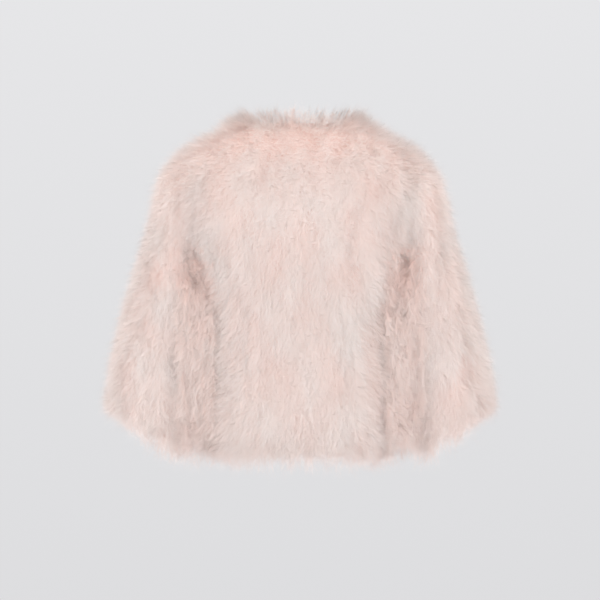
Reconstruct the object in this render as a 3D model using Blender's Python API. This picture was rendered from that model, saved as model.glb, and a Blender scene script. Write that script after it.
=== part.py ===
"""A cropped feather jacket with three-quarter bell sleeves, hollow, as it hangs on a wearer.

Metres, +Z up. The wearer faces -Y and the wearer's left is +X. The origin is the middle of the
neck, level with the inner end of the shoulder seams, where the wearer's shoulders carry the jacket.
Each piece is a wall: its inside is the base cloth and its outside is as far as the feathers reach.
"""

import math
from collections import namedtuple

import bmesh
import bpy
import numpy as np
from mathutils import Matrix, Vector

# Driving sizes
SEAM_GAP = 0.0003  # between pieces that are sewn together
FRONT_GAP = 0.003  # between the two front edges
ARMHOLE_X = 0.166  # the armhole seams lie in the planes x = +-ARMHOLE_X
SLEEVE_ROUNDNESS = 2.5  # exponent of a sleeve's rings, 2 would be an ellipse
BACK_NECK_DIP = 0.007  # how much lower the feathers end at the middle of the back neck

# The front neckline: an oval as it is seen from the front
NECK_HALF_WIDTH = 0.083
NECK_TOP = 0.030  # height of the oval's middle, level with the feathers at the neck edge
NECK_DROP = 0.105  # from there down to the neckline's lowest point

# Feather locks, raised in the outer points
LOCK_COLUMNS = 3  # columns of points across one lock
LOCK_DEPTH = 0.0065  # from the crown of a lock to the gap beside it
LOCK_RISE = 0.4  # share of that depth that stands proud of the sections below
LOCK_LENGTH = 0.085
LOCK_TIP = 0.012  # how far a lock's tip hangs below the gap beside it, at hem and cuff
BODY_LOCKS = 30  # round the body
SLEEVE_LOCKS = 15  # round a sleeve

# Rows of points along each wall
BODY_ROWS = 34
SLEEVE_ROWS = 26
INSIDE_ROWS = 9  # the inside is plain

# The body's sections from hem to neck. Each row is one section of the cloth and of the feathers round it.
# Roundness is the section's exponent, so that 2 is an ellipse and more is squarer.
Section = namedtuple(
    "Section",
    "cloth_height cloth_side cloth_back cloth_front pile_height pile_side pile_back pile_front roundness",
)
BODY_SECTIONS = [
    Section(-0.524, 0.141, 0.118, 0.112, -0.549, 0.161, 0.144, 0.136, 2.9),  # hem
    Section(-0.480, 0.142, 0.120, 0.115, -0.498, 0.1645, 0.151, 0.145, 3.0),  # high hip
    Section(-0.390, 0.140, 0.112, 0.112, -0.398, 0.1645, 0.143, 0.142, 3.0),  # waist
    Section(-0.300, 0.140, 0.113, 0.118, -0.305, 0.1645, 0.142, 0.148, 3.0),  # ribs
    Section(-0.228, 0.160, 0.117, 0.124, -0.240, 0.166, 0.146, 0.155, 2.8),  # under the arm
    Section(-0.160, 0.185, 0.118, 0.115, -0.160, 0.213, 0.147, 0.145, 2.5),  # chest
    Section(-0.095, 0.200, 0.107, 0.093, -0.086, 0.236, 0.138, 0.122, 2.4),  # upper arm
    Section(-0.062, 0.182, 0.094, 0.077, -0.041, 0.212, 0.122, 0.103, 2.4),  # shoulder point
    Section(-0.034, 0.142, 0.080, 0.062, -0.008, 0.166, 0.104, 0.085, 2.4),  # shoulder seam
    Section(-0.011, 0.102, 0.069, 0.051, 0.016, 0.122, 0.089, 0.070, 2.3),  # foot of the neck
    Section(0.000, 0.079, 0.062, 0.045, 0.030, 0.086, 0.073, 0.055, 2.2),  # neck edge
]

# The sleeve's sections from armhole to cuff, as the feathers reach. Each row is a slanting ring,
# from its outer end over the arm to its inner end beside the body.
Ring = namedtuple("Ring", "outer_x outer_z inner_x inner_z half_depth middle_y")
SLEEVE_RINGS = [
    Ring(0.1663, -0.008, 0.1663, -0.2400, 0.108, 0.002),  # armhole
    Ring(0.1920, -0.020, 0.1667, -0.2430, 0.104, 0.002),
    Ring(0.2150, -0.043, 0.1670, -0.2470, 0.099, 0.001),  # shoulder point
    Ring(0.2330, -0.089, 0.1672, -0.2560, 0.094, 0.000),
    Ring(0.2530, -0.156, 0.1674, -0.2780, 0.090, -0.001),  # upper arm
    Ring(0.2755, -0.222, 0.1674, -0.3230, 0.088, -0.003),
    Ring(0.2960, -0.288, 0.1674, -0.3790, 0.088, -0.006),  # elbow
    Ring(0.3140, -0.352, 0.1674, -0.4380, 0.090, -0.010),
    Ring(0.3265, -0.414, 0.1676, -0.5010, 0.093, -0.014),
    Ring(0.3320, -0.472, 0.1690, -0.5560, 0.094, -0.018),  # cuff
]
SLEEVE_PILE_OUT = 0.029  # feathers on the outer side of the arm
SLEEVE_PILE_IN = 0.015  # feathers pressed flat between the arm and the body
CUFF_OVERHANG = 0.045  # share of the sleeve's length that the feathers hang past the cloth
ARMHOLE_BLEND = 0.30  # share of the sleeve's length that turns the armhole's shape into a ring

PLUME_PINK = (0.80, 0.62, 0.56, 1.0)
PLUME_ROUGHNESS = 0.9


def clear_scene():
    for old in list(bpy.data.objects):
        bpy.data.objects.remove(old, do_unlink=True)


def new_collection(name, hidden):
    made = bpy.data.collections.new(name)
    made.hide_render = hidden
    bpy.context.scene.collection.children.link(made)
    return made


def plume_material(name):
    made = bpy.data.materials.new(name)
    made.use_nodes = True
    shader = made.node_tree.nodes["Principled BSDF"]
    shader.inputs["Base Color"].default_value = PLUME_PINK
    shader.inputs["Roughness"].default_value = PLUME_ROUGHNESS
    shader.inputs["Metallic"].default_value = 0.0
    return made


# Tables read as smooth curves


def smooth_through(knots, values, place):
    """The value at a place on a smooth curve through the values at the knots."""
    slopes = np.gradient(values, knots)
    low = int(np.clip(np.searchsorted(knots, place) - 1, 0, len(knots) - 2))
    span = knots[low + 1] - knots[low]
    s = (place - knots[low]) / span
    return (
        (2 * s**3 - 3 * s**2 + 1) * values[low]
        + (s**3 - 2 * s**2 + s) * span * slopes[low]
        + (3 * s**2 - 2 * s**3) * values[low + 1]
        + (s**3 - s**2) * span * slopes[low + 1]
    )


def shares_along(points):
    """For each point of a line, its distance along the line as a share of the whole."""
    steps = np.linalg.norm(np.diff(points, axis=0), axis=1)
    along = np.concatenate([[0.0], np.cumsum(steps)])
    return along / along[-1]


def columns_of(rows, names):
    return {name: np.array([getattr(row, name) for row in rows]) for name in names}


def smooth_step(share):
    share = min(1.0, max(0.0, share))
    return share * share * (3 - 2 * share)


# Feather locks


def chance(number):
    """A fixed even spread of shares from 0 to 1, one for each whole number."""
    return math.modf(abs(math.sin(number * 12.9898) * 43758.5453))[0]


def lock_gap(position):
    """1 in the gap between two locks and 0 on a lock's crown, for a place counted in locks."""
    across = position - math.floor(position)
    return max(0.0, 1 - LOCK_COLUMNS * min(across, 1 - across))


def lock_relief(position, down):
    """How far the feathers lie under their mean reach, for a place in locks round and metres down."""
    number = math.floor(position + 0.5 / LOCK_COLUMNS)
    along = down / LOCK_LENGTH + chance(number)
    tier = math.floor(along)
    lift = chance(number + 0.37 * tier)
    tuck = 1 - smooth_step((along - tier) / 0.7)
    gap = lock_gap(position) * (0.45 + 0.55 * chance(number + 0.61 * tier))
    return LOCK_DEPTH * (max(gap, 0.7 * tuck, 0.5 * lift) - LOCK_RISE)


def lock_tip(position):
    """How far a lock's tip hangs at an edge, for a place counted in locks."""
    number = math.floor(position + 0.5 / LOCK_COLUMNS)
    return LOCK_TIP * (0.5 + 0.5 * chance(number + 0.5)) * (1 - lock_gap(position))


# The body: sections from hem to neck


BODY = columns_of(BODY_SECTIONS, Section._fields)
BODY_KNOTS = shares_along(np.column_stack([BODY["pile_height"], BODY["pile_side"], BODY["pile_back"]]))


def body_section(layer, up):
    """A layer's height, half width, back depth, front depth and roundness at a share of the way up.
    The layer is cloth or pile."""
    names = [f"{layer}_{part}" for part in ("height", "side", "back", "front")] + ["roundness"]
    return [smooth_through(BODY_KNOTS, BODY[name], up) for name in names]


def round_turn(turn, roundness):
    """Cosine and sine of a share of a turn, filled out to a squarer round."""
    c, s = math.cos(2 * math.pi * turn), math.sin(2 * math.pi * turn)
    power = 2 / roundness
    return math.copysign(abs(c) ** power, c), math.copysign(abs(s) ** power, s)


def oval(turn, half_width, back, front, roundness):
    """A point of a rounded section, for a share of a turn from +X through +Y."""
    c, s = round_turn(turn, roundness)
    return half_width * c, (back if s > 0 else front) * s


def body_cloth_point(turn, up):
    height, side, back, front, roundness = body_section("cloth", up)
    x, y = oval(turn, side, back, front, roundness)
    return Vector((x, y, height))


def body_pile_point(turn, up):
    height, side, back, front, roundness = body_section("pile", up)
    position = turn * BODY_LOCKS
    under_arm = abs(math.cos(2 * math.pi * turn)) ** 4
    sink = lock_relief(position, -height) * (1 - 0.7 * under_arm)
    x, y = oval(turn, side - sink, back - sink, front - sink, roundness)
    behind = max(0.0, math.sin(2 * math.pi * turn))
    height -= lock_tip(position) * smooth_step(1 - 6 * up)
    height -= BACK_NECK_DIP * behind**2 * smooth_step(10 * up - 9)
    return Vector((x, y, height))


# The sleeve: slanting rings from armhole to cuff


SLEEVE = columns_of(SLEEVE_RINGS, Ring._fields)
SLEEVE_KNOTS = shares_along(
    np.column_stack([SLEEVE["outer_x"] + SLEEVE["inner_x"], SLEEVE["outer_z"] + SLEEVE["inner_z"]])
)


def body_levels(layer, count=240):
    """The columns of a layer's sections, close together from hem to neck."""
    return np.array([body_section(layer, up) for up in np.linspace(0, 1, count)]).T


LEVELS = {layer: body_levels(layer) for layer in ("cloth", "pile")}


def in_body(layer, y, z):
    """True if a point of the armhole's plane lies inside this layer of the body."""
    heights, sides, backs, fronts, rounds = LEVELS[layer]
    half_width = np.interp(z, heights, sides)
    depth = np.interp(z, heights, backs if y > 0 else fronts)
    roundness = np.interp(z, heights, rounds)
    inside = (ARMHOLE_X / half_width) ** roundness + (abs(y) / depth) ** roundness < 1
    return bool(inside) and heights[0] < z < heights[-1]


def armhole_ends(layer):
    """The lowest and highest height of the armhole in this layer."""
    heights, sides = LEVELS[layer][:2]
    open_heights = heights[sides > ARMHOLE_X]
    return float(open_heights[0]), float(open_heights[-1])


def armhole_point(layer, turn):
    """A point of the armhole's edge, for a share of a turn from the top through the back."""
    low, high = armhole_ends(layer)
    middle = (low + high) / 2
    dy, dz = math.sin(2 * math.pi * turn), math.cos(2 * math.pi * turn)
    near, far = 0.0, 0.3
    for _ in range(40):
        reach = (near + far) / 2
        if in_body(layer, dy * reach, middle + dz * reach):
            near = reach
        else:
            far = reach
    return Vector((ARMHOLE_X + SEAM_GAP, dy * near, middle + dz * near))


def sleeve_ring_point(along, turn, shrink_out, shrink_in, shrink_depth):
    """A point of a slanting ring, drawn in from the feathers' reach by the three amounts."""
    at = {name: smooth_through(SLEEVE_KNOTS, SLEEVE[name], along) for name in Ring._fields}
    outer = Vector((at["outer_x"], 0, at["outer_z"]))
    inner = Vector((at["inner_x"], 0, at["inner_z"]))
    across = (outer - inner).normalized()
    outer -= across * shrink_out
    inner += across * shrink_in
    c, s = round_turn(turn, SLEEVE_ROUNDNESS)
    point = (outer + inner) / 2 + (outer - inner) / 2 * c
    point.y += at["middle_y"] + (at["half_depth"] - shrink_depth) * s
    return point


def sleeve_point(layer, along, turn, shrink, armhole_shrink):
    """A ring's point, with the armhole's own shape kept at the body and fading out along the arm."""
    point = sleeve_ring_point(along, turn, *shrink)
    fade = 1 - smooth_step(along / ARMHOLE_BLEND)
    if fade > 0:
        point += fade * (armhole_point(layer, turn) - sleeve_ring_point(0, turn, *armhole_shrink))
    return point


def sleeve_cloth_point(turn, along):
    shrink = (SLEEVE_PILE_OUT, SLEEVE_PILE_IN, SLEEVE_PILE_OUT)
    return sleeve_point("cloth", along * (1 - CUFF_OVERHANG), turn, shrink, shrink)


def sleeve_pile_point(turn, along):
    position = turn * SLEEVE_LOCKS
    away = (1 + math.cos(2 * math.pi * turn)) / 2
    length = abs(SLEEVE["outer_z"][-1])
    sink = lock_relief(position, along * length) * away * smooth_step(4 * along)
    point = sleeve_point("pile", along, turn, (sink, 0.0, sink), (0.0, 0.0, 0.0))
    point.z -= lock_tip(position) * smooth_step(6 * along - 5)
    return point


# Walls


def wall_mesh(name, locks, outside_rows, cloth_point, pile_point):
    """A closed tubular wall: one grid bent round, up the feathers outside and back down the cloth inside."""
    columns = locks * LOCK_COLUMNS
    rows = outside_rows + INSIDE_ROWS + 2
    bm = bmesh.new()
    verts = bmesh.ops.create_grid(bm, x_segments=columns, y_segments=rows, size=0.5)["verts"]
    for vert in verts:
        turn = round((vert.co.x + 0.5) * columns) % columns / columns
        row = round((vert.co.y + 0.5) * rows) % rows
        if row <= outside_rows:
            vert.co = pile_point(turn, row / outside_rows)
        else:
            vert.co = cloth_point(turn, (rows - 1 - row) / INSIDE_ROWS)
    bmesh.ops.remove_doubles(bm, verts=verts, dist=1e-7)
    bmesh.ops.triangulate(bm, faces=bm.faces)
    bmesh.ops.recalc_face_normals(bm, faces=bm.faces)
    mesh = bpy.data.meshes.new(name)
    bm.to_mesh(mesh)
    bm.free()
    mesh.shade_smooth()
    return mesh


def box(name, low, high, collection):
    """An upright box between two corners, used only to cut."""
    bm = bmesh.new()
    bmesh.ops.create_cube(bm, size=1.0)
    low, high = Vector(low), Vector(high)
    bmesh.ops.scale(bm, vec=high - low, verts=bm.verts)
    bmesh.ops.translate(bm, vec=(low + high) / 2, verts=bm.verts)
    return helper(name, bm, collection)


def neck_cutter(collection):
    """An oval post that lies along Y, where the front neckline is cut away."""
    bm = bmesh.new()
    bmesh.ops.create_cone(bm, cap_ends=True, segments=48, radius1=1.0, radius2=1.0, depth=1.0)
    bmesh.ops.rotate(bm, matrix=Matrix.Rotation(math.pi / 2, 3, "X"), verts=bm.verts)
    bmesh.ops.scale(bm, vec=(NECK_HALF_WIDTH, 1.0, NECK_DROP), verts=bm.verts)
    bmesh.ops.translate(bm, vec=(0, -0.5, NECK_TOP), verts=bm.verts)
    return helper("neck_post", bm, collection)


def helper(name, bm, collection):
    mesh = bpy.data.meshes.new(name)
    bm.to_mesh(mesh)
    bm.free()
    made = bpy.data.objects.new(name, mesh)
    made.hide_render = True
    made.display_type = "WIRE"
    collection.objects.link(made)
    return made


def add_boolean(obj, operation, other):
    cut = obj.modifiers.new(f"{operation.lower()}_{other.name}", "BOOLEAN")
    cut.operation = operation
    cut.solver = "EXACT"
    cut.object = other


def add_piece(name, mesh, collection):
    made = bpy.data.objects.new(name, mesh)
    mesh.materials.append(plume_material(f"{name}_plumes"))
    collection.objects.link(made)
    return made


def build_body(pieces, cutters):
    """The back and both fronts: one wall round the body, parted at its seams and front opening."""
    body = wall_mesh("body_wall", BODY_LOCKS, BODY_ROWS, body_cloth_point, body_pile_point)
    far, half_seam, half_front = 1.0, SEAM_GAP / 2, FRONT_GAP / 2
    regions = {
        "back": ((-ARMHOLE_X, half_seam, -far), (ARMHOLE_X, far, far)),
        "front_left": ((half_front, -far, -far), (ARMHOLE_X, -half_seam, far)),
        "front_right": ((-ARMHOLE_X, -far, -far), (-half_front, -half_seam, far)),
    }
    neck = neck_cutter(cutters)
    for name, (low, high) in regions.items():
        panel = add_piece(name, body.copy(), pieces)
        add_boolean(panel, "INTERSECT", box(f"{name}_region", low, high, cutters))
        if name != "back":
            add_boolean(panel, "DIFFERENCE", neck)


def build_sleeve(name, side, pieces):
    """One sleeve: side is 1 for the wearer's left and -1 for the right."""

    def on_side(point_of):
        def placed(turn, along):
            point = point_of(turn, along)
            return Vector((side * point.x, point.y, point.z))

        return placed

    cloth, pile = on_side(sleeve_cloth_point), on_side(sleeve_pile_point)
    mesh = wall_mesh(name, SLEEVE_LOCKS, SLEEVE_ROWS, cloth, pile)
    add_piece(name, mesh, pieces)


def build():
    clear_scene()
    pieces = new_collection("feather_jacket", hidden=False)
    cutters = new_collection("cutters", hidden=True)
    build_body(pieces, cutters)
    build_sleeve("sleeve_left", 1, pieces)
    build_sleeve("sleeve_right", -1, pieces)


build()
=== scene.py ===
import math

import bmesh
import bpy
import numpy as np
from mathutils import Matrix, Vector, kdtree, noise
from mathutils.bvhtree import BVHTree


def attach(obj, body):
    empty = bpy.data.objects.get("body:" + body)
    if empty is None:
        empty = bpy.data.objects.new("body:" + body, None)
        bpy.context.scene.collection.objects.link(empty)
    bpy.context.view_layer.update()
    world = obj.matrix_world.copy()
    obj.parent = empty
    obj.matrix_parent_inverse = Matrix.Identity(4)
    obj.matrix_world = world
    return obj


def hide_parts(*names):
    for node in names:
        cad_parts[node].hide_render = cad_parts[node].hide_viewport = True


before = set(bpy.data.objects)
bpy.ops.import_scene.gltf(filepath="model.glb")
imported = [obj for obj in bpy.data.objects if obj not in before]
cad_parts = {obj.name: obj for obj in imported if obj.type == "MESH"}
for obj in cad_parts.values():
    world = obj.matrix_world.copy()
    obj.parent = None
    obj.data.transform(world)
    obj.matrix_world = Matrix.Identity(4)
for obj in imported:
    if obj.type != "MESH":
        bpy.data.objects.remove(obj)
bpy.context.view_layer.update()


# CAMERA
# A level studio camera behind the jacket, with a long lens, so the back is seen almost flat on.

FRAME_WIDTH = 0.9888  # metres across the picture at the jacket
CAMERA_DISTANCE = 4.0
CAMERA_RISE = math.radians(2.0)
AIM = Vector((0.0, 0.0, -0.288))
SENSOR_MM = 36.0

lens = bpy.data.cameras.new("studio_camera")
lens.sensor_width = SENSOR_MM
lens.lens = SENSOR_MM * CAMERA_DISTANCE / FRAME_WIDTH
camera = bpy.data.objects.new("studio_camera", lens)
camera.location = AIM + CAMERA_DISTANCE * Vector((0, math.cos(CAMERA_RISE), math.sin(CAMERA_RISE)))
camera.rotation_euler = (AIM - camera.location).to_track_quat("-Z", "Y").to_euler()
bpy.context.collection.objects.link(camera)
bpy.context.scene.camera = camera
bpy.context.scene.view_settings.view_transform = "Standard"


# STUDIO
# A pale grey room that is a little darker below, two wide soft lamps on the camera's side, weaker
# ones above and on the far side, and a pale floor far under the hanging jacket.

ROOM_LOW = (0.715, 0.715, 0.73, 1)
ROOM_HIGH = (0.80, 0.80, 0.815, 1)
ROOM_FADE = (0.40, 0.56)  # from low to high, as shares of the way from straight down to straight up
FLOOR_GREY = (0.62, 0.62, 0.63, 1)
FLOOR_ROUGHNESS = 0.9
FLOOR_HEIGHT = -1.25
FLOOR_RADIUS = 2.2
FLOOR_SIDES = 96
LAMPS = {
    "lamp_left": dict(place=(2.65, 2.85, 0.3), size=2.0, watts=98),
    "lamp_right": dict(place=(-2.65, 2.85, 0.1), size=2.0, watts=94),
    "lamp_top": dict(place=(0.0, 1.2, 3.2), size=2.4, watts=14),
    "lamp_front": dict(place=(0.4, -3.6, 0.4), size=2.2, watts=65),
}

room = bpy.data.worlds.new("pale_room")
room.use_nodes = True
nodes, links = room.node_tree.nodes, room.node_tree.links
look = nodes.new("ShaderNodeTexCoord")
split_look = nodes.new("ShaderNodeSeparateXYZ")
height_share = nodes.new("ShaderNodeMapRange")
height_share.inputs["From Min"].default_value = -1.0
shade = nodes.new("ShaderNodeValToRGB")
for stop, place, colour in zip(shade.color_ramp.elements, ROOM_FADE, (ROOM_LOW, ROOM_HIGH)):
    stop.position = place
    stop.color = colour
links.new(look.outputs["Generated"], split_look.inputs[0])
links.new(split_look.outputs["Z"], height_share.inputs["Value"])
links.new(height_share.outputs["Result"], shade.inputs["Fac"])
links.new(shade.outputs["Color"], nodes["Background"].inputs["Color"])
bpy.context.scene.world = room

for name, lamp in LAMPS.items():
    light = bpy.data.lights.new(name, "AREA")
    light.size = lamp["size"]
    light.energy = lamp["watts"]
    stand = bpy.data.objects.new(name, light)
    stand.location = lamp["place"]
    stand.rotation_euler = (AIM - stand.location).to_track_quat("-Z", "Y").to_euler()
    bpy.context.collection.objects.link(stand)

bm = bmesh.new()
bmesh.ops.create_circle(bm, cap_ends=True, segments=FLOOR_SIDES, radius=FLOOR_RADIUS)
bmesh.ops.translate(bm, vec=(0, 0, FLOOR_HEIGHT), verts=bm.verts)
floor_mesh = bpy.data.meshes.new("floor")
bm.to_mesh(floor_mesh)
bm.free()
floor = bpy.data.objects.new("floor", floor_mesh)
floor_paint = bpy.data.materials.new("floor_paint")
floor_paint.use_nodes = True
floor_shader = floor_paint.node_tree.nodes["Principled BSDF"]
floor_shader.inputs["Base Color"].default_value = FLOOR_GREY
floor_shader.inputs["Roughness"].default_value = FLOOR_ROUGHNESS
floor_mesh.materials.append(floor_paint)
bpy.context.collection.objects.link(floor)


# BASE CLOTH
# Five panels of thin pale pink satin, cut and sewn to the jacket's form, that carry the plumes.
# Each is the inside of its solid, and shows only in the neck, the hem and the cuffs.

CLOTH_THICKNESS = 0.0012
CLOTH_PINK = (0.90, 0.68, 0.61, 1)
CLOTH_SHADE = (0.82, 0.58, 0.51, 1)
CLOTH_ROUGHNESS = 0.55
CLOTH_SHEEN = 0.3
THREAD_SCALE = 320.0
THREAD_WAVER = 1.5
SLUB_SCALE = 60.0
WEAVE_STRENGTH = 0.15
WEAVE_DEPTH = 0.0005
# what tells the inside of a solid from its outside and its edges
HOLLOW_LEAST = 0.05  # a face that looks this far across the hollow is inside
HOLLOW_MOST = 0.60
RAY_START = 0.0001
SEAM_NEAR = 0.0006
ARMHOLE_X = 0.166
ARMPIT_HEIGHT = -0.21
FRONT_EDGE_X = 0.0015
NECK_RIM = 0.0005  # a face that reaches above this height is the neck's edge
NECKLINE_FOOT = -0.085  # above this height, a face that looks up is the front neckline's cut edge
NECKLINE_TURN = -0.05
# how the solid's triangles become an even, smooth cloth
MERGE_NEAR = 1e-6
JOIN_ANGLES = (0.6, 0.8)
CLOTH_SMOOTH = 0.6
# flat cut of each panel: width, length and area
CUTS = {
    "back": (0.45, 0.58, 0.216),
    "front_left": (0.22, 0.57, 0.101),
    "front_right": (0.22, 0.57, 0.101),
    "sleeve_left": (0.44, 0.46, 0.138),
    "sleeve_right": (0.44, 0.46, 0.138),
}


def merged_copy(node):
    """A bmesh of a solid with its loose triangles joined."""
    made = bmesh.new()
    made.from_mesh(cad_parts[node].data)
    bmesh.ops.remove_doubles(made, verts=made.verts, dist=MERGE_NEAR)
    return made


def on_seam(face):
    """True if a face lies in a seam or in the front edge, where two panels face each other."""
    places = np.array([vert.co for vert in face.verts])
    armhole = np.abs(np.abs(places[:, 0]) - ARMHOLE_X).max() < SEAM_NEAR
    side = np.abs(places[:, 1]).max() < SEAM_NEAR
    front_edge = np.abs(np.abs(places[:, 0]) - FRONT_EDGE_X).max() < SEAM_NEAR
    return armhole or side or front_edge


def looks_across(face, own_tree):
    """True if a face looks across the hollow, below the arm that of its own tube."""
    middle = face.calc_center_median()
    tree = own_tree if middle.z < ARMPIT_HEIGHT else whole_tree
    if max(vert.co.z for vert in face.verts) > NECK_RIM or on_seam(face):
        return False
    if middle.z > NECKLINE_FOOT and face.normal.z > NECKLINE_TURN:
        return False
    hit = tree.ray_cast(middle + face.normal * RAY_START, face.normal, HOLLOW_MOST)
    if hit[0] is None:  # it looks out through the neck, and towards the middle if it is inside
        return middle.z > ARMPIT_HEIGHT and face.normal.xy.dot(middle.xy) < 0
    return hit[3] > HOLLOW_LEAST


def tree_of(meshes):
    """One search tree of the faces of several bmeshes."""
    points, faces = [], []
    for made in meshes:
        start = len(points)
        made.verts.index_update()
        points += [vert.co.copy() for vert in made.verts]
        faces += [[start + vert.index for vert in face.verts] for face in made.faces]
    return BVHTree.FromPolygons(points, faces)


def without(mesh, unwanted):
    """A copy of a bmesh without the faces whose numbers are given."""
    made = mesh.copy()
    made.faces.ensure_lookup_table()
    gone = [face for face in made.faces if face.index in unwanted]
    bmesh.ops.delete(made, geom=gone, context="FACES")
    return made


def satin():
    """Thin satin: fine threads in bands across, broken by slubs, in two near pinks."""
    made = bpy.data.materials.new("base_satin")
    made.use_nodes = True
    tree = made.node_tree
    shader = tree.nodes["Principled BSDF"]
    shader.inputs["Roughness"].default_value = CLOTH_ROUGHNESS
    shader.inputs["Sheen Weight"].default_value = CLOTH_SHEEN
    place = tree.nodes.new("ShaderNodeTexCoord")
    threads = tree.nodes.new("ShaderNodeTexWave")
    threads.wave_type = "BANDS"
    threads.bands_direction = "Z"
    threads.inputs["Scale"].default_value = THREAD_SCALE
    threads.inputs["Distortion"].default_value = THREAD_WAVER
    slubs = tree.nodes.new("ShaderNodeTexNoise")
    slubs.inputs["Scale"].default_value = SLUB_SCALE
    both = tree.nodes.new("ShaderNodeMath")
    both.operation = "MULTIPLY"
    tint = tree.nodes.new("ShaderNodeMix")
    tint.data_type = "RGBA"
    tint.inputs["A"].default_value = CLOTH_SHADE
    tint.inputs["B"].default_value = CLOTH_PINK
    bump = tree.nodes.new("ShaderNodeBump")
    bump.inputs["Strength"].default_value = WEAVE_STRENGTH
    bump.inputs["Distance"].default_value = WEAVE_DEPTH
    tree.links.new(place.outputs["Object"], threads.inputs["Vector"])
    tree.links.new(place.outputs["Object"], slubs.inputs["Vector"])
    tree.links.new(threads.outputs["Fac"], both.inputs[0])
    tree.links.new(slubs.outputs["Fac"], both.inputs[1])
    tree.links.new(both.outputs["Value"], tint.inputs["Factor"])
    tree.links.new(tint.outputs["Result"], shader.inputs["Base Color"])
    tree.links.new(threads.outputs["Fac"], bump.inputs["Height"])
    tree.links.new(bump.outputs["Normal"], shader.inputs["Normal"])
    return made


solids = {node: merged_copy(node) for node in CUTS}
whole_tree = tree_of(solids.values())
tubes = [("back", "front_left", "front_right"), ("sleeve_left",), ("sleeve_right",)]
tube_trees = {node: tree_of([solids[other] for other in tube]) for tube in tubes for node in tube}
satin_pink = satin()
cloth_shells, cloth_objects, reach_shells = {}, {}, []
for node, solid in solids.items():
    solid.normal_update()
    inside = {face.index for face in solid.faces if looks_across(face, tube_trees[node])}
    seams = {face.index for face in solid.faces if on_seam(face)}
    outside = {face.index for face in solid.faces} - inside
    reach_shells.append(without(solid, inside | seams))
    shell = without(solid, outside)
    bmesh.ops.join_triangles(
        shell,
        faces=shell.faces,
        angle_face_threshold=JOIN_ANGLES[0],
        angle_shape_threshold=JOIN_ANGLES[1],
    )
    bmesh.ops.subdivide_edges(
        shell, edges=shell.edges, cuts=1, use_grid_fill=True, smooth=CLOTH_SMOOTH
    )
    shell.normal_update()
    cloth_shells[node] = shell
    mesh = bpy.data.meshes.new(f"{node}_cloth")
    shell.to_mesh(mesh)
    mesh.shade_smooth()
    mesh.materials.append(satin_pink)
    cloth = bpy.data.objects.new(f"{node}_cloth", mesh)
    bpy.context.collection.objects.link(cloth)
    thick = cloth.modifiers.new("thickness", "SOLIDIFY")
    thick.thickness = CLOTH_THICKNESS
    thick.offset = -1.0
    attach(cloth, "root")
    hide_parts(node)
    cloth_objects[node] = cloth
cloth_tree = tree_of(cloth_shells.values())
reach_tree = tree_of(reach_shells)


# PLUMES
# Marabou plumes sewn by their quills all over the cloth. Each is a soft quill with long loose
# barbs, pinker at the root and paler at the tip; they lie downwards over each other in locks.

# each mesh of plumes, the panel it is sewn to and the side of the centre back that it covers
PIECES = {
    "back_plumes_left": ("back", 1),
    "back_plumes_right": ("back", -1),
    "front_left_plumes": ("front_left", 0),
    "front_right_plumes": ("front_right", 0),
    "sleeve_left_plumes": ("sleeve_left", 0),
    "sleeve_right_plumes": ("sleeve_right", 0),
}
FIRST_SEED = 100
# the roots and the quills
PLUMES_PER_M2 = 46000
ROOT_SPACING = 0.72 / math.sqrt(PLUMES_PER_M2)
TRIES = 3  # places tried for each plume
PLUME_LENGTH = (0.048, 0.072)
LEAST_LENGTH = 0.005
QUILL_POINTS = 5
QUILL_DEPTH = 0.006  # quills stay this far under the pile's surface
MOST_SUNK = 0.03  # and are pushed down by no more than this
QUILL_LIFT = 0.28  # they rise to about this share of the pile's depth
LIFT_VARIES = (0.2, 0.1)  # from lock to lock and from plume to plume
LIFT_LIMITS = (0.08, 0.8)
SHOULDER_LIFT = 0.2  # fuller on top of the shoulders
SWAY_VARIES = (0.5, 0.18)  # how they turn aside, from lock to lock and from plume to plume
PILE_DEPTH = (0.010, 0.032)  # from the cloth to the pile's surface, at least and at most
PILE_START = 0.001
PILE_SEARCH = 0.06
LOCK_ACROSS = 0.019  # size of a lock of plumes that lie together
LOCK_ALONG = 0.058
LOCK_SEEDS = dict(sway=3.1, lift=7.7, tint=1.3, fine_tint=5.9)
# hem and cuffs, where quills hang past the cloth
EDGE_NEAR = 0.001
HEM_OVERHANG = (-0.022, 0.042)
OVERHANG_POWER = 0.6  # below 1, more of them hang far
HEM_PAST = 0.006  # a plume that hangs this far past the cloth is all fringe
HEM_ALONG = (0.3, 0.7)  # from this share of its quill, and wholly from that one
HEM_FINER = 0.62
HEM_DOWN = 0.68
# the neck, where plumes stand up
NECK_NEAR = 0.034  # plumes this near the neck's edge
NECK_PILE = 0.034
NECK_SHORTER = 0.9
NECK_LIFT = (0.1, 0.7)
NECK_MIDDLE = 0.45  # higher by this much at the centre back
NECK_HALF = 0.09
NECK_UP = (1.7, 0.35)  # how much they lean up, and how unevenly
NECK_TRIM = 0.55  # those nearer than this have others beside them, as a trim
NECK_EXTRA = 2
TRIM_SCATTER = 0.002
NECK_FINER = 0.35
NECK_INWARD = 0.7
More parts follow.
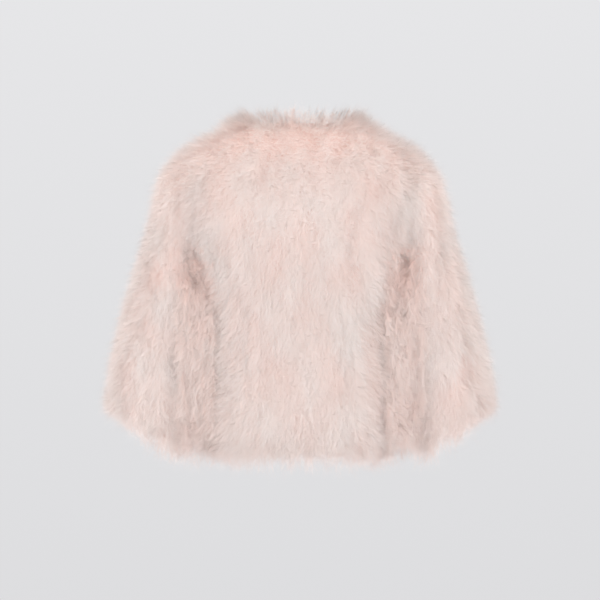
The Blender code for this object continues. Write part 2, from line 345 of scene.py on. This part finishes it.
# the groove between sleeve and body, filled by plumes that spring out of it
GROOVE_TOP = -0.165
GROOVE_FADE = 0.03
GROOVE_SHALLOW = 0.1  # plumes that face across it more than this are beside it
GROOVE_DEEP = 0.65  # and more than this are deep in it
FACING_FADE = 0.3
GROOVE_SHARE = 0.85  # share of the deep ones that spring out
GROOVE_LEAST = 0.012  # by no less than this
GROOVE_ENDS = (0.140, 0.200)  # they come to near a line from the body's back to the sleeve's
GROOVE_SPAN = (-0.08, 1.08)
GROOVE_DIP = (0.021, 0.019)  # below that line, beside the body and beside the sleeve
GROOVE_UNEVEN = 0.006
GROOVE_SOON = 2.4
GROOVE_RISE = 0.012
GROOVE_SCATTER = 0.25
GROOVE_STRAY = 0.016  # the others' barbs reach this much farther across it
GROOVE_REARWARD = 1.8
# painted shade: the armpit's roots, about this high, are painted the pinkest and darkest
PIT_HEIGHT = -0.215  # the roots in the armpit, about here, are the pinkest
PIT_HALF = 0.06
# the barbs
BARBS = 32
FIRST_BARB = 0.03  # share of the quill below the first one
BARB_WIDTH = 0.00039
BARB_LENGTH = (0.018, 0.040)
BARB_SHORTEST = 0.55  # share of that length at the ends of an arch that is whole in its middle
BARB_ARCH = (0.15, 0.90)  # the stretch of the arch that a quill has
BARB_SPREAD = 54  # degrees from the quill
SPREAD_CLOSES = 16  # less at its tip
SPREAD_NECK = 20  # more at the neck
SPREAD_VARIES = 17
BARB_ROLL = 45  # degrees out from the sides
ROLL_VARIES = 42
TIP_DEPTH = 0.006  # barbs end about this far under the pile's surface
TIP_STRAY = 0.012  # or farther out than that by about this much
MOST_STRAY = 0.018
LEAST_SHARE = 0.2
FACING_VARIES = 0.7  # how unevenly their flat sides turn
FACING_SHARE = 0.22  # and how much that shows in the light
PLUME_TILT = 0.18
# their colours
ROOT_PINK = (0.95, 0.79, 0.735, 1)
MIDDLE_PINK = (0.968, 0.915, 0.885, 1)
TIP_PINK = (0.97, 0.94, 0.922, 1)
TINT_LOW = (1.0, 0.91, 0.885, 1)
TINT_HIGH = (0.995, 1.0, 1.0, 1)
BARB_ROUGHNESS = 0.85
BARB_SHINE = 0.2
LET_THROUGH = 0.4  # share of the light that passes through a barb
FOOT_SHARES = (0.05, 0.50)  # where feet stand in the run of colour, at the quill's root and tip
# painted shade: barbs at the hem's fringe, the neck's rim, in the groove beside the arm and most in
# the armpit take more of the root's deeper pink, which darkens them as shade would
PAINTED_SHADE_PINK = dict(hem=0.45, neck=0.35, groove=0.3, armpit_shade=0.85)
TINT_MIDDLE = 0.55
TINT_LOCKS = (0.6, 0.4)  # from lock to lock, and within a lock
FINE_LOCKS = 2.3
# painted shade: the tint turns to its pinker, darker end in the groove beside the arm and more in
# the armpit; at the neck it turns paler
TINT_CHANGES = dict(groove=-0.15, armpit_shade=-0.45, neck=0.2)
TINT_VARIES = (0.16, 0.04)  # from plume to plume and from barb to barb
TINT_MARGIN = (0.02, 0.01)
MAP_HALF_WIDTH = 0.008  # of a barb's foot in the UV map


def unit(vectors):
    """The same ways, one long."""
    return vectors / np.maximum(np.linalg.norm(vectors, axis=-1, keepdims=True), 1e-9)


def plume_material():
    """Soft barbs: colour runs from root to tip along V, and each plume has its own tint along U."""
    made = bpy.data.materials.new("marabou_pink")
    made.use_nodes = True
    tree = made.node_tree
    shader = tree.nodes["Principled BSDF"]
    shader.inputs["Roughness"].default_value = BARB_ROUGHNESS
    shader.inputs["Specular IOR Level"].default_value = BARB_SHINE
    own_map = tree.nodes.new("ShaderNodeUVMap")
    own_map.uv_map = "OFBake"
    split = tree.nodes.new("ShaderNodeSeparateXYZ")
    along = tree.nodes.new("ShaderNodeValToRGB")
    along.color_ramp.elements[0].color = ROOT_PINK
    along.color_ramp.elements[1].color = TIP_PINK
    along.color_ramp.elements.new(0.5).color = MIDDLE_PINK
    tint = tree.nodes.new("ShaderNodeValToRGB")
    tint.color_ramp.elements[0].color = TINT_LOW
    tint.color_ramp.elements[1].color = TINT_HIGH
    both = tree.nodes.new("ShaderNodeMix")
    both.data_type = "RGBA"
    both.blend_type = "MULTIPLY"
    both.inputs["Factor"].default_value = 1.0
    through = tree.nodes.new("ShaderNodeBsdfTranslucent")
    mixed = tree.nodes.new("ShaderNodeMixShader")
    mixed.inputs["Fac"].default_value = LET_THROUGH
    tree.links.new(own_map.outputs["UV"], split.inputs[0])
    tree.links.new(split.outputs["Y"], along.inputs["Fac"])
    tree.links.new(split.outputs["X"], tint.inputs["Fac"])
    tree.links.new(along.outputs["Color"], both.inputs["A"])
    tree.links.new(tint.outputs["Color"], both.inputs["B"])
    tree.links.new(both.outputs["Result"], shader.inputs["Base Color"])
    tree.links.new(both.outputs["Result"], through.inputs["Color"])
    tree.links.new(shader.outputs["BSDF"], mixed.inputs[1])
    tree.links.new(through.outputs["BSDF"], mixed.inputs[2])
    tree.links.new(mixed.outputs["Shader"], tree.nodes["Material Output"].inputs["Surface"])
    return made


def sewn_points(shell, side, rng):
    """Evenly spread places on a panel's outside, with the way out from the cloth at each."""
    corners = []
    for face in shell.faces:
        for i in range(1, len(face.verts) - 1):
            three = [face.verts[0], face.verts[i], face.verts[i + 1]]
            corners.append([(vert.co, vert.normal) for vert in three])
    places = np.array([[corner[0] for corner in three] for three in corners])
    normals = np.array([[corner[1] for corner in three] for three in corners])
    sides = places[:, 1:] - places[:, :1]
    areas = np.linalg.norm(np.cross(sides[:, 0], sides[:, 1]), axis=1) / 2
    wanted = int(PLUMES_PER_M2 * areas.sum())
    tried = wanted * TRIES
    chosen = rng.choice(len(places), tried, p=areas / areas.sum())
    shares = rng.dirichlet((1, 1, 1), tried)
    points = np.einsum("ij,ijk->ik", shares, places[chosen])
    ways = -unit(np.einsum("ij,ijk->ik", shares, normals[chosen]))
    near = kdtree.KDTree(tried)
    for number, point in enumerate(points):
        near.insert(point, number)
    near.balance()
    crowded = np.zeros(tried, dtype=bool)
    for number, point in enumerate(points):
        if not crowded[number]:
            for _, other, _ in near.find_range(point, ROOT_SPACING):
                if other > number:
                    crowded[other] = True
    kept = np.flatnonzero(~crowded)[:wanted]
    if side:
        kept = kept[(points[kept, 0] >= 0) == (side > 0)]
    return points[kept], ways[kept]


def past_edge(aim):
    """The cloth's place nearest to a point, the way out there and how far past the edge it is."""
    place, normal, _, _ = cloth_tree.find_nearest(aim)
    beside = Vector(aim) - place
    return place, -normal, (beside - normal * beside.dot(normal)).length


def falling(outs):
    """The way down along the cloth, for each way out from it."""
    down = np.array((0.0, 0.0, -1.0))
    return unit(down - (outs @ down)[:, None] * outs)


def laid_paths(roots, ways, lengths, sways):
    """Each quill's line over the cloth, downwards from its root, and the way out at each point.
    Also how far its end hangs past the cloth's edge."""
    count = len(roots)
    paths = np.empty((count, QUILL_POINTS, 3))
    outs = np.empty((count, QUILL_POINTS, 3))
    past = np.zeros(count)
    paths[:, 0] = roots
    outs[:, 0] = ways
    for k in range(1, QUILL_POINTS):
        fall = falling(outs[:, k - 1])
        across = np.cross(fall, outs[:, k - 1])
        step = unit(fall + across * sways[:, None]) * (lengths / (QUILL_POINTS - 1))[:, None]
        aims = paths[:, k - 1] + step
        for i, aim in enumerate(aims):
            place, out, past[i] = past_edge(aim)
            on_cloth = past[i] < EDGE_NEAR
            paths[i, k] = place if on_cloth else aim
            outs[i, k] = out if on_cloth else outs[i, k - 1]
        outs[:, k] = unit(outs[:, k] + outs[:, k - 1])
    return paths, outs, past


def near_neck(roots, ways):
    """1 at the cloth's upper edge, falling to 0 at NECK_NEAR below it."""
    above = roots - falling(ways) * NECK_NEAR
    past = np.array([past_edge(aim)[2] for aim in above])
    return np.clip(past / NECK_NEAR, 0, 1)


def beside_arm(roots, ways, least):
    """1 where sleeve and body face each other below the arm, 0 where they do so less than least."""
    outward = ways[:, 0] * np.sign(roots[:, 0])
    towards = np.where(np.abs(roots[:, 0]) < ARMHOLE_X, outward, -outward)
    below = np.clip((GROOVE_TOP - roots[:, 2]) / GROOVE_FADE, 0, 1)
    return np.clip((towards - least) / FACING_FADE, 0, 1) * below


def past_surface(points):
    """How far each point stands out past the pile's surface, or less than 0 inside it."""
    flat = points.reshape(-1, 3)
    past = np.empty(len(flat))
    for i, (x, y, z) in enumerate(flat.tolist()):
        place, normal, _, _ = reach_tree.find_nearest((x, y, z))
        past[i] = (x - place.x) * normal.x + (y - place.y) * normal.y + (z - place.z) * normal.z
    return past.reshape(points.shape[:-1])


def pile_depth(roots, ways, neck):
    """How deep the pile is at each root."""
    depths = np.full(len(roots), np.mean(PILE_DEPTH))
    for i, (root, way) in enumerate(zip(roots, ways)):
        start = Vector(root) + Vector(way) * PILE_START
        hit = reach_tree.ray_cast(start, Vector(way), PILE_SEARCH)
        if hit[0] is not None:
            depths[i] = hit[3]
    depths = np.clip(depths, *PILE_DEPTH)
    return depths + (NECK_PILE - depths) * neck


def lock_noise(points, seed):
    """A slow change from place to place, stretched downwards, from about -1 to 1."""
    scale = np.array((1 / LOCK_ACROSS, 1 / LOCK_ACROSS, 1 / LOCK_ALONG))
    return np.array([noise.noise(Vector(p * scale) + Vector((seed, 0, 0))) for p in points])


def varied(amounts, roots, seed, rng):
    """A change from lock to lock, and a smaller one from plume to plume."""
    by_lock, by_plume = amounts
    return by_lock * lock_noise(roots, seed) + rng.normal(0, by_plume, len(roots))


def with_trim(roots, ways, neck, rng):
    """The roots with more of them set close to the neck edge."""
    trim = np.repeat(np.flatnonzero(neck > NECK_TRIM), NECK_EXTRA)
    near = roots[trim] + rng.normal(0, TRIM_SCATTER, (len(trim), 3))
    return (
        np.concatenate([roots, near]),
        np.concatenate([ways, ways[trim]]),
        np.concatenate([neck, neck[trim]]),
    )


def groove_mouth(roots, rng):
    """Where each plume beside the arm comes out of the groove, near a line from body to sleeve."""
    shares = rng.uniform(*GROOVE_SPAN, len(roots))
    dips = np.interp(shares, (0, 1), GROOVE_DIP) + rng.normal(0, GROOVE_UNEVEN, len(roots))
    mouths = roots.copy()
    for i, (x, y, z) in enumerate(roots.tolist()):
        side, back = math.copysign(1, x), math.copysign(1, y)
        ends = []
        for across in GROOVE_ENDS:
            hit = reach_tree.ray_cast((side * across, back, z), (0, -back, 0), 2.0)
            ends.append(y if hit[0] is None else hit[0].y)
        mouths[i, 0] = side * np.interp(shares[i], (0, 1), GROOVE_ENDS)
        mouths[i, 1] = np.interp(shares[i], (0, 1), ends) - back * dips[i]
    return mouths


def rearward(roots):
    """The way straight back at the jacket's back, and straight forward at its front."""
    return np.sign(roots[:, 1:2, None]) * np.array((0, 1, 0))


def out_of_groove(quills, outs, paths, roots, ways, rng):
    """The quills and their ways out, where those deep in the groove spring out of it.
    Also which of them do."""
    along = np.linspace(0, 1, QUILL_POINTS)
    mouths = groove_mouth(paths[:, QUILL_POINTS // 2], rng)
    springs = rng.random(len(roots)) < GROOVE_SHARE * beside_arm(roots, ways, GROOVE_DEEP)
    springs &= np.abs(mouths[:, 1]) - np.abs(roots[:, 1]) > GROOVE_LEAST
    mouths = np.repeat(mouths[:, None], QUILL_POINTS, axis=1)
    mouths[..., 2] = paths[..., 2] + GROOVE_RISE * along
    moved = springs[:, None, None] * np.clip(along * GROOVE_SOON, 0, 1)[:, None]
    sprung = rearward(roots) + rng.normal(0, GROOVE_SCATTER, (len(roots), 1, 3))
    return quills + (mouths - quills) * moved, unit(outs + (sprung - outs) * moved), springs


def bent_quills(roots, ways, neck, rng):
    """The quills: down over the cloth and rising from it, up at the neck, out of the groove.
    Also the way out at each point, how far its end hangs past the cloth, how far past the pile's
    surface each point is and whether the quill springs out of the groove."""
    count = len(roots)
    lengths = rng.uniform(*PLUME_LENGTH, count) * (1 - NECK_SHORTER * neck)
    sways = varied(SWAY_VARIES, roots, LOCK_SEEDS["sway"], rng)
    past = laid_paths(roots, ways, lengths, sways)[2]
    overhang = np.interp(rng.random(count) ** OVERHANG_POWER, (0, 1), HEM_OVERHANG)
    lengths -= np.where(past > 0, np.maximum(0, past - overhang), 0)
    paths, outs, past = laid_paths(roots, ways, np.maximum(lengths, LEAST_LENGTH), sways)
    lift = np.clip(QUILL_LIFT + varied(LIFT_VARIES, roots, LOCK_SEEDS["lift"], rng), *LIFT_LIMITS)
    lift += SHOULDER_LIFT * np.clip(ways[:, 2], 0, 1)
    middle = np.clip(1 - np.abs(roots[:, 0]) / NECK_HALF, 0, 1) * (roots[:, 1] > 0)
    lift += (rng.uniform(*NECK_LIFT, count) + NECK_MIDDLE * middle - lift) * neck
    bend = 1 - (1 - np.linspace(0, 1, QUILL_POINTS)) ** 2
    rise = (pile_depth(roots, ways, neck) * lift)[:, None] * bend
    up, uneven = NECK_UP
    lean = rng.normal(0, uneven, (count, 1, 3)) + np.array((0, 0, up))
    quills = paths + unit(outs + lean * neck[:, None, None]) * rise[..., None]
    depth = past_surface(quills)
    quills -= outs * np.clip(depth + QUILL_DEPTH, 0, MOST_SUNK)[..., None]
    depth = np.minimum(depth, -QUILL_DEPTH)
    quills, outs, springs = out_of_groove(quills, outs, paths, roots, ways, rng)
    return quills, outs, past, depth, springs


def along_quill(values, low, part):
    """Values at the barbs' feet, each between two points of its quill."""
    row = np.arange(len(values))[:, None]
    return values[row, low] * (1 - part) + values[row, low + 1] * part


def grown_barbs(quills, outs, depth, neck, groove, springs, rng):
    """Each barb's share along its quill, foot and tip, and its ways aside, out and onward.
    They grow to both sides and out, leaning towards the quill's tip, and are shorter where they
    would stand far out past the pile's surface."""
    count = len(quills)
    s = (np.arange(BARBS) + rng.uniform(0, 1, (count, BARBS))) / BARBS
    s = FIRST_BARB + (1 - FIRST_BARB) * s
    low = np.minimum((s * (QUILL_POINTS - 1)).astype(int), QUILL_POINTS - 2)
    part = (s * (QUILL_POINTS - 1) - low)[..., None]
    feet = along_quill(quills, low, part)
    ahead = unit(along_quill(unit(np.gradient(quills, axis=1)), low, part))
    out = unit(along_quill(outs, low, part))
    aside = np.cross(ahead, out) * np.where(np.arange(BARBS) % 2, 1.0, -1.0)[None, :, None]
    spread = BARB_SPREAD - SPREAD_CLOSES * s + SPREAD_NECK * neck[:, None]
    spread = np.radians(spread + rng.normal(0, SPREAD_VARIES, s.shape))[..., None]
    roll = np.radians(BARB_ROLL + rng.normal(0, ROLL_VARIES, s.shape))[..., None]
    grow = np.sin(spread) * (np.cos(roll) * aside + np.sin(roll) * out)
    grow = unit(grow + np.cos(spread) * ahead)
    arch = np.sin(np.pi * np.interp(s, (0, 1), BARB_ARCH))
    long = rng.uniform(*BARB_LENGTH, s.shape) * (BARB_SHORTEST + (1 - BARB_SHORTEST) * arch)
    foot_past = along_quill(depth[..., None], low, part)[..., 0]
    tip_past = past_surface(feet + grow * long[..., None])
    limit = np.minimum(rng.exponential(TIP_STRAY, s.shape) - TIP_DEPTH, MOST_STRAY)
    limit += GROOVE_STRAY * groove[:, None]
    share = (limit - foot_past) / np.maximum(tip_past - foot_past, 1e-4)
    too_long = (tip_past > limit) & ~springs[:, None]
    long *= np.where(too_long, np.clip(share, LEAST_SHARE, 1), 1.0)
    return s, feet, feet + grow * long[..., None], aside, out, grow


def soft_normals(out, facing, roots, neck, groove, hem, rng):
    """How barbs take the light: as the soft outside of the fluff does, turned inwards at the neck,
    rearward beside the groove and down at the hem, and each plume a little its own way."""
    soft = unit(out - NECK_INWARD * neck[:, None, None] ** 2 * rearward(roots))
    soft = unit(soft + GROOVE_REARWARD * groove[:, None, None] * rearward(roots))
    soft = unit(soft + hem[..., None] * np.array((0, 0, -HEM_DOWN)))
    tilt = rng.normal(0, PLUME_TILT, (len(roots), 1, 3))
    return unit(soft + FACING_SHARE * facing + tilt)


def barb_colours(s, roots, ways, neck, hem, rng):
    """Each barb's tint, and where its foot and its tip are in the run of colour, with painted
    shade: more of the root's deeper pink at the hem's fringe, the neck, the groove and the armpit.
    """
    # painted shade: the deep groove beside the arm and the armpit within it, where the barbs are
    # painted pinker and darker
    deep = beside_arm(roots, ways, GROOVE_DEEP)
    armpit_shade = deep * np.clip(1 - np.abs(roots[:, 2] - PIT_HEIGHT) / PIT_HALF, 0, 1)
    by_plume, by_barb = TINT_VARIES
    plume_margin, barb_margin = TINT_MARGIN
    tint = TINT_MIDDLE + TINT_LOCKS[0] * lock_noise(roots, LOCK_SEEDS["tint"])
    tint += TINT_LOCKS[1] * lock_noise(FINE_LOCKS * roots, LOCK_SEEDS["fine_tint"])
    tint += TINT_CHANGES["groove"] * deep + TINT_CHANGES["armpit_shade"] * armpit_shade + TINT_CHANGES["neck"] * neck
    tint = np.clip(tint + rng.normal(0, by_plume, len(roots)), plume_margin, 1 - plume_margin)
    tints = tint[:, None] + rng.normal(0, by_barb, s.shape)
    # painted shade: the share of deeper root pink at the hem, the neck, the groove and the armpit
    shade_pink = [PAINTED_SHADE_PINK["neck"] * neck, PAINTED_SHADE_PINK["groove"] * deep, PAINTED_SHADE_PINK["armpit_shade"] * armpit_shade]
    shade_pink = np.maximum(PAINTED_SHADE_PINK["hem"] * hem, np.maximum.reduce(shade_pink)[:, None])
    shares = np.stack([np.interp(s, (0, 1), FOOT_SHARES), np.ones_like(s)], axis=2)
    return np.clip(tints, barb_margin, 1 - barb_margin), shares * (1 - shade_pink[..., None])


def barbs_mesh(name, feet, tips, half_widths, normals, tints, shares):
    """One mesh of fine barbs, each a slim triangle from its foot on the quill to its tip."""
    verts = np.stack([feet - half_widths, feet + half_widths, tips], axis=-2).reshape(-1, 3)
    count = len(verts) // 3
    mesh = bpy.data.meshes.new(name)
    mesh.vertices.add(count * 3)
    mesh.vertices.foreach_set("co", verts.astype(np.float32).ravel())
    mesh.loops.add(count * 3)
    mesh.loops.foreach_set("vertex_index", np.arange(count * 3, dtype=np.int32))
    mesh.polygons.add(count)
    mesh.polygons.foreach_set("loop_start", np.arange(0, count * 3, 3, dtype=np.int32))
    mesh.update(calc_edges=True)
    soft = mesh.attributes.new("custom_normal", "FLOAT_VECTOR", "POINT")
    normals = np.repeat(normals.reshape(-1, 3), 3, axis=0)
    soft.data.foreach_set("vector", normals.astype(np.float32).ravel())
    u = tints[..., None] + np.array((-MAP_HALF_WIDTH, MAP_HALF_WIDTH, 0))
    v = shares[..., (0, 0, 1)]
    layer = mesh.uv_layers.new(name="OFBake")
    layer.data.foreach_set("uv", np.stack([u, v], axis=-1).astype(np.float32).ravel())
    return mesh


def plumes_mesh(name, roots, ways, rng):
    """All plumes of one piece, as the fine barbs on both sides of their quills."""
    roots, ways, neck = with_trim(roots, ways, near_neck(roots, ways), rng)
    groove = beside_arm(roots, ways, GROOVE_SHALLOW)
    quills, outs, past, depth, springs = bent_quills(roots, ways, neck, rng)
    s, feet, tips, aside, out, grow = grown_barbs(quills, outs, depth, neck, groove, springs, rng)
    hem = np.clip(past / HEM_PAST, 0, 1)[:, None] * np.interp(s, HEM_ALONG, (0, 1))
    facing = unit(out + aside * rng.normal(0, FACING_VARIES, s.shape)[..., None])
    width = BARB_WIDTH * (1 - NECK_FINER * neck)[:, None] * (1 - HEM_FINER * hem)
    half_widths = unit(np.cross(grow, facing)) * width[..., None] / 2
    normals = soft_normals(out, facing, roots, neck, groove, hem, rng)
    tints, shares = barb_colours(s, roots, ways, neck, hem, rng)
    return barbs_mesh(name, feet, tips, half_widths, normals, tints, shares)


marabou_pink = plume_material()
plume_objects = {}
for number, (name, (node, side)) in enumerate(PIECES.items()):
    rng = np.random.default_rng(FIRST_SEED + number)
    sewn = np.random.default_rng(list(CUTS).index(node))
    roots, ways = sewn_points(cloth_shells[node], side, sewn)
    barbs = plumes_mesh(name, roots, ways, rng)
    barbs.materials.append(marabou_pink)
    plumes = bpy.data.objects.new(name, barbs)
    bpy.context.collection.objects.link(plumes)
    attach(plumes, "root")
    plume_objects.setdefault(node, []).append(plumes)
